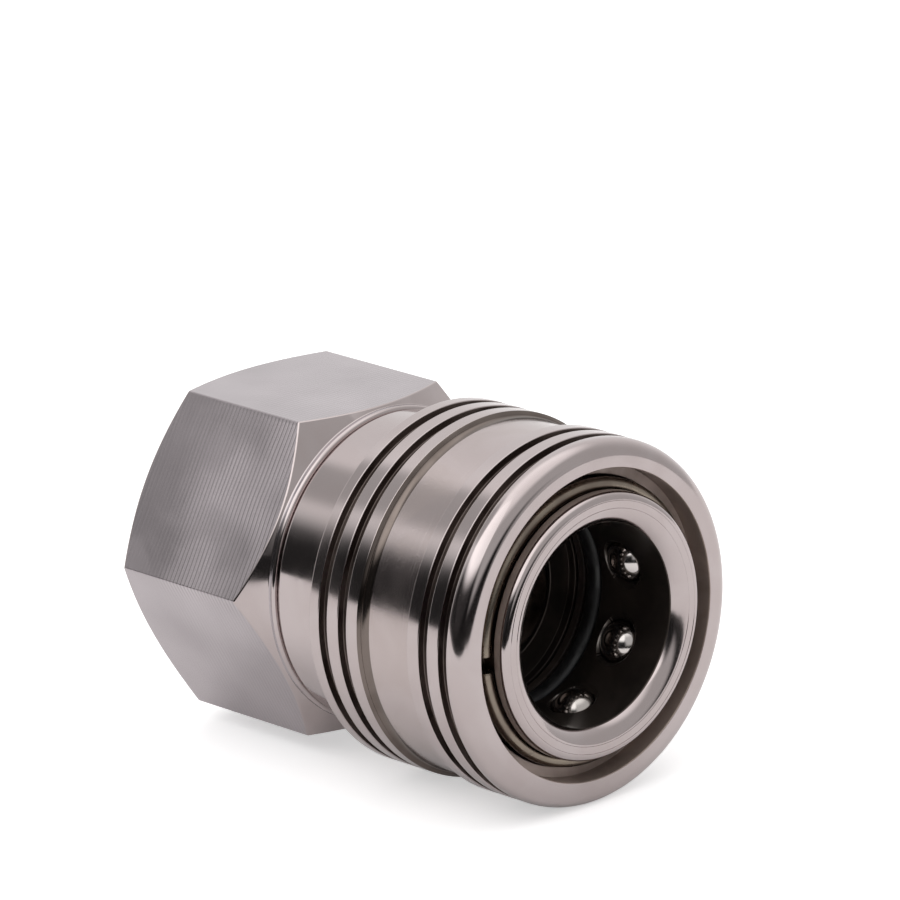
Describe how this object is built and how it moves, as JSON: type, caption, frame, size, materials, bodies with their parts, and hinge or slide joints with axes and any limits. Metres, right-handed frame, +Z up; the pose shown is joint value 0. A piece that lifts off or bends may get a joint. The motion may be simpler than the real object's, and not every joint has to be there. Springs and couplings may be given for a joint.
{
  "type": "quick coupling socket",
  "caption": "Ball-lock quick coupling socket with a spring-loaded grooved sleeve, a poppet valve and a hexagonal female threaded end.",
  "frame": {"origin": "on the coupling's axis, halfway between the front edge of the nose and the rear face of the hexagon", "axes": "+X along the axis towards the mouth that takes the plug, +Z up, a flat of the hexagon facing up"},
  "size_m": [0.0518, 0.0386, 0.0378],
  "materials": {
    "turned_steel": "turned and polished stainless steel",
    "milled_steel": "milled stainless steel with fine cutter lines across the flats",
    "sleeve_steel": "turned stainless steel, polished lands and satin waist",
    "spring_steel": "drawn stainless spring wire",
    "ball_steel": "polished hardened steel",
    "seal_rubber": "smooth black nitrile rubber",
    "backup_plastic": "smooth off-white fluoropolymer"
  },
  "bodies": {
    "body": {"socket_body": "turned_steel", "hex_adapter": "milled_steel", "retaining_ring": "spring_steel", "sleeve_spring": "spring_steel", "poppet_spring": "spring_steel", "poppet_guide": "turned_steel", "plug_seal": "seal_rubber", "backup_ring": "backup_plastic", "body_seal": "seal_rubber"},
    "sleeve": {"sleeve": "sleeve_steel"},
    "poppet": {"poppet": "turned_steel", "poppet_seal": "seal_rubber"},
    "ball_1": {"ball_1": "ball_steel"},
    "ball_2": {"ball_2": "ball_steel"},
    "ball_3": {"ball_3": "ball_steel"},
    "ball_4": {"ball_4": "ball_steel"},
    "ball_5": {"ball_5": "ball_steel"},
    "ball_6": {"ball_6": "ball_steel"},
    "ball_7": {"ball_7": "ball_steel"},
    "ball_8": {"ball_8": "ball_steel"}
  },
  "joints": [
    {"name": "sleeve_slide", "type": "slide", "parent": "body", "child": "sleeve", "axis": [-1, 0, 0], "range_m": [0, 0.0055], "stiffness_N_per_m": 3000, "springref_m": -0.003, "deforming": ["sleeve_spring"]},
    {"name": "poppet_slide", "type": "slide", "parent": "body", "child": "poppet", "axis": [-1, 0, 0], "range_m": [0, 0.005], "stiffness_N_per_m": 1500, "springref_m": -0.004, "deforming": ["poppet_spring"]},
    {"name": "ball_1_slide", "type": "slide", "parent": "body", "child": "ball_1", "axis": [0, 0.5, 0.866], "range_m": [0, 0.001]},
    {"name": "ball_2_slide", "type": "slide", "parent": "body", "child": "ball_2", "axis": [0, 0.9659, 0.2588], "range_m": [0, 0.001]},
    {"name": "ball_3_slide", "type": "slide", "parent": "body", "child": "ball_3", "axis": [0, 0.866, -0.5], "range_m": [0, 0.001]},
    {"name": "ball_4_slide", "type": "slide", "parent": "body", "child": "ball_4", "axis": [0, 0.2588, -0.9659], "range_m": [0, 0.001]},
    {"name": "ball_5_slide", "type": "slide", "parent": "body", "child": "ball_5", "axis": [0, -0.5, -0.866], "range_m": [0, 0.001]},
    {"name": "ball_6_slide", "type": "slide", "parent": "body", "child": "ball_6", "axis": [0, -0.9659, -0.2588], "range_m": [0, 0.001]},
    {"name": "ball_7_slide", "type": "slide", "parent": "body", "child": "ball_7", "axis": [0, -0.866, 0.5], "range_m": [0, 0.001]},
    {"name": "ball_8_slide", "type": "slide", "parent": "body", "child": "ball_8", "axis": [0, -0.2588, 0.9659], "range_m": [0, 0.001]}
  ],
  "couplings": [
    {"joint": "ball_1_slide", "follows": "sleeve_slide", "ratio": 0.18},
    {"joint": "ball_2_slide", "follows": "sleeve_slide", "ratio": 0.18},
    {"joint": "ball_3_slide", "follows": "sleeve_slide", "ratio": 0.18},
    {"joint": "ball_4_slide", "follows": "sleeve_slide", "ratio": 0.18},
    {"joint": "ball_5_slide", "follows": "sleeve_slide", "ratio": 0.18},
    {"joint": "ball_6_slide", "follows": "sleeve_slide", "ratio": 0.18},
    {"joint": "ball_7_slide", "follows": "sleeve_slide", "ratio": 0.18},
    {"joint": "ball_8_slide", "follows": "sleeve_slide", "ratio": 0.18}
  ]
}
